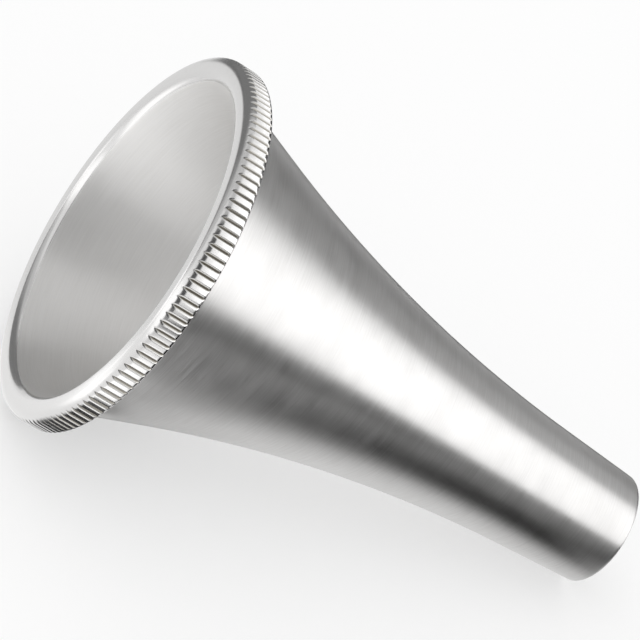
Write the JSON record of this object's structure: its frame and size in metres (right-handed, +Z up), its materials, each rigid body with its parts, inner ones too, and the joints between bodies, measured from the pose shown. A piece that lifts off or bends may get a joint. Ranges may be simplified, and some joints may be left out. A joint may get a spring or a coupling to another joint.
{
  "type": "ear speculum",
  "caption": "Funnel-shaped metal ear speculum: a wide mouth with a knurled grip ring, a long concave flare and a narrow open tip that holds the ear canal open for viewing.",
  "frame": {"origin": "centre of the bounding box's bottom: the object lies on its side on the floor, on the heel of the ring and the edge of the tip", "axes": "+X from the mouth towards the tip, seen from above; +Z up. The funnel's own axis leans down from mouth to tip by 13.49 degrees in the XZ plane; XZ is its plane of symmetry as it lies"},
  "size_m": [0.0396, 0.0244, 0.024],
  "materials": {
    "satin_steel": "fine turned satin, lines round the axis; interior blasted dull",
    "polished_steel": "bright polished lip, nose and tooth crests",
    "braze": "silver braze, dressed smooth"
  },
  "bodies": {
    "root": {"funnel": "satin_steel", "grip_ring": "polished_steel", "braze_seam": "braze"}
  },
  "joints": []
}
